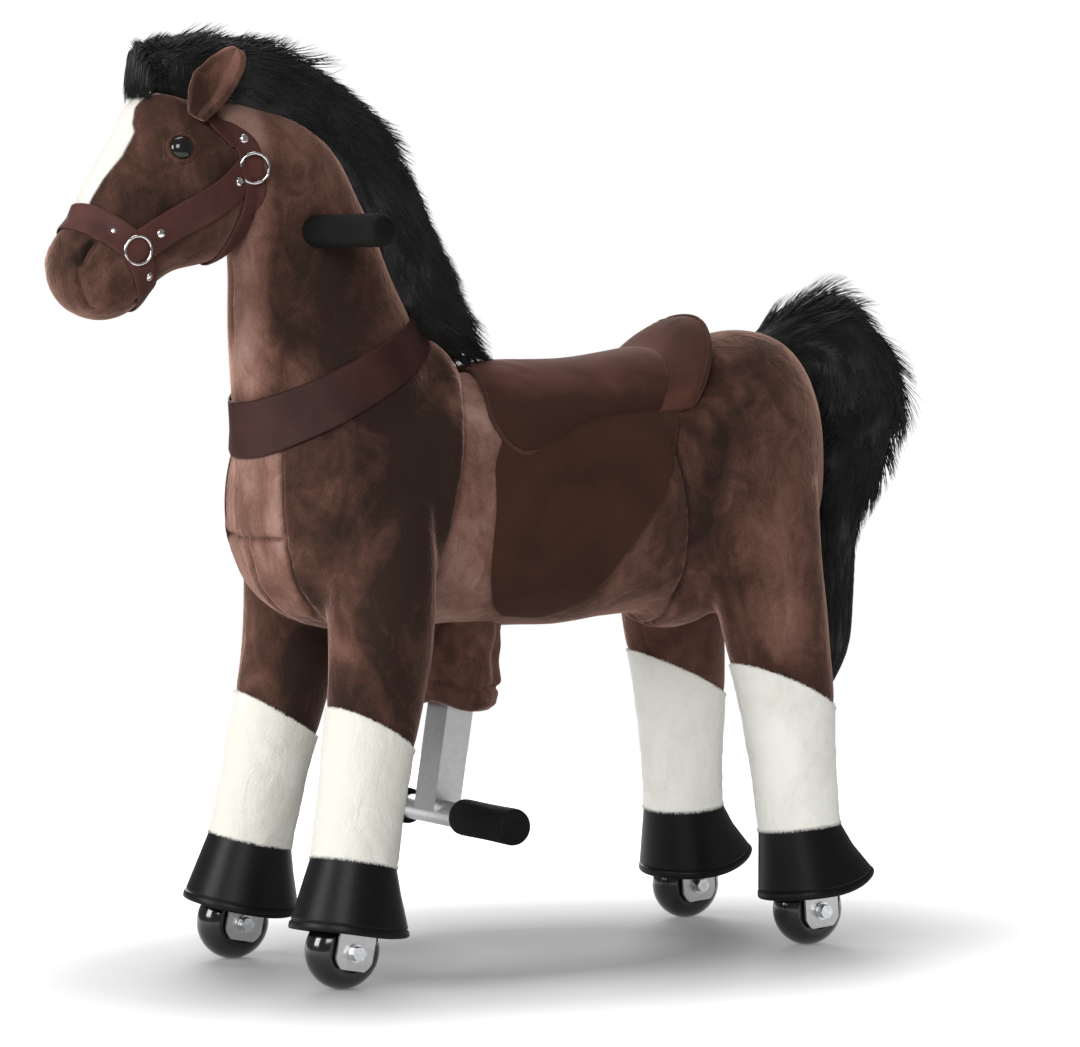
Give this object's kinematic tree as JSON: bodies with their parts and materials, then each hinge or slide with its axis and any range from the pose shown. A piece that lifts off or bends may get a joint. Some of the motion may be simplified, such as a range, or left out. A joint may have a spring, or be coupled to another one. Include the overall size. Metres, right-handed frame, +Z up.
{
  "type": "ride-on horse on wheels",
  "caption": "Plush ride-on horse on wheels: a hinged steel frame spreads the legs under the rider and closes on the pedals, and the front steers by side handles.",
  "frame": {"origin": "on the floor under the middle of the horse", "axes": "+X is the way the horse faces, +Y its left side, +Z up"},
  "size_m": [1.0116, 0.372, 0.9214],
  "materials": {
    "plush_brown": "matte",
    "plush_cream": "matte",
    "hair_black": "satin",
    "saddle_cloth": "matte",
    "strap_leather": "satin",
    "hoof_vinyl": "satin",
    "grip_plastic": "satin",
    "tyre_black": "gloss",
    "hub_plastic": "satin",
    "bearing_steel": "polished",
    "frame_zinc": "satin",
    "bolt_zinc": "satin",
    "spring_steel": "satin",
    "board_wood": "matte",
    "bush_bronze": "satin",
    "ring_chrome": "polished",
    "eye_black": "gloss"
  },
  "bodies": {
    "rear_half": {"rear_frame": "frame_zinc", "rear_wheel_bracket_left": "frame_zinc", "rear_wheel_bracket_right": "frame_zinc", "rear_axle_bolts": "bolt_zinc", "seat_board": "board_wood", "gallop_pin": "bolt_zinc", "return_spring": "spring_steel", "barrel": "plush_brown", "rump": "plush_brown", "rear_leg_left": "plush_brown", "rear_leg_right": "plush_brown", "rear_stocking_left": "plush_cream", "rear_stocking_right": "plush_cream", "rear_hoof_left": "hoof_vinyl", "rear_hoof_right": "hoof_vinyl", "saddle_seat": "saddle_cloth", "saddle_cantle": "saddle_cloth", "saddle_flap_left": "saddle_cloth", "saddle_flap_right": "saddle_cloth", "tail": "hair_black", "belly_sleeve": "plush_brown"},
    "pedal_link": {"pedal_frame": "frame_zinc", "pedal_grips": "grip_plastic", "steering_bushes": "bush_bronze", "shoulder_cover": "plush_brown"},
    "front_half": {"front_fork": "frame_zinc", "neck_stem": "frame_zinc", "front_wheel_bracket_left": "frame_zinc", "front_wheel_bracket_right": "frame_zinc", "front_axle_bolts": "bolt_zinc", "chest": "plush_brown", "neck": "plush_brown", "head": "plush_brown", "muzzle": "plush_brown", "ears": "plush_brown", "eyes": "eye_black", "mane": "hair_black", "front_leg_left": "plush_brown", "front_leg_right": "plush_brown", "front_stocking_left": "plush_cream", "front_stocking_right": "plush_cream", "front_hoof_left": "hoof_vinyl", "front_hoof_right": "hoof_vinyl", "handlebar": "frame_zinc", "handle_grips": "grip_plastic", "breast_collar": "strap_leather", "halter": "strap_leather", "halter_hardware": "ring_chrome"},
    "front_wheel_left": {"front_tyre_left": "tyre_black", "front_hub_left": "hub_plastic", "front_bearings_left": "bearing_steel"},
    "front_wheel_right": {"front_tyre_right": "tyre_black", "front_hub_right": "hub_plastic", "front_bearings_right": "bearing_steel"},
    "rear_wheel_left": {"rear_tyre_left": "tyre_black", "rear_hub_left": "hub_plastic", "rear_bearings_left": "bearing_steel"},
    "rear_wheel_right": {"rear_tyre_right": "tyre_black", "rear_hub_right": "hub_plastic", "rear_bearings_right": "bearing_steel"}
  },
  "joints": [
    {"name": "gallop_pivot", "type": "hinge", "parent": "rear_half", "child": "pedal_link", "pos_m": [0.024, 0, 0.53], "axis": [0, -1, 0], "range_deg": [0, 10], "stiffness_Nm_per_rad": 70, "springref_deg": -7.45, "deforming": ["return_spring", "belly_sleeve"]},
    {"name": "steering", "type": "hinge", "parent": "pedal_link", "child": "front_half", "pos_m": [0.165, 0, 0.5], "axis": [0, 0, 1], "range_deg": [-18, 18], "deforming": ["shoulder_cover"]},
    {"name": "front_wheel_left_spin", "type": "hinge", "parent": "front_half", "child": "front_wheel_left", "pos_m": [0.256, 0.114, 0.038], "axis": [0, 1, 0], "continuous": true},
    {"name": "front_wheel_right_spin", "type": "hinge", "parent": "front_half", "child": "front_wheel_right", "pos_m": [0.256, -0.114, 0.038], "axis": [0, 1, 0], "continuous": true},
    {"name": "rear_wheel_left_spin", "type": "hinge", "parent": "rear_half", "child": "rear_wheel_left", "pos_m": [-0.292, 0.114, 0.038], "axis": [0, 1, 0], "continuous": true},
    {"name": "rear_wheel_right_spin", "type": "hinge", "parent": "rear_half", "child": "rear_wheel_right", "pos_m": [-0.292, -0.114, 0.038], "axis": [0, 1, 0], "continuous": true}
  ]
}
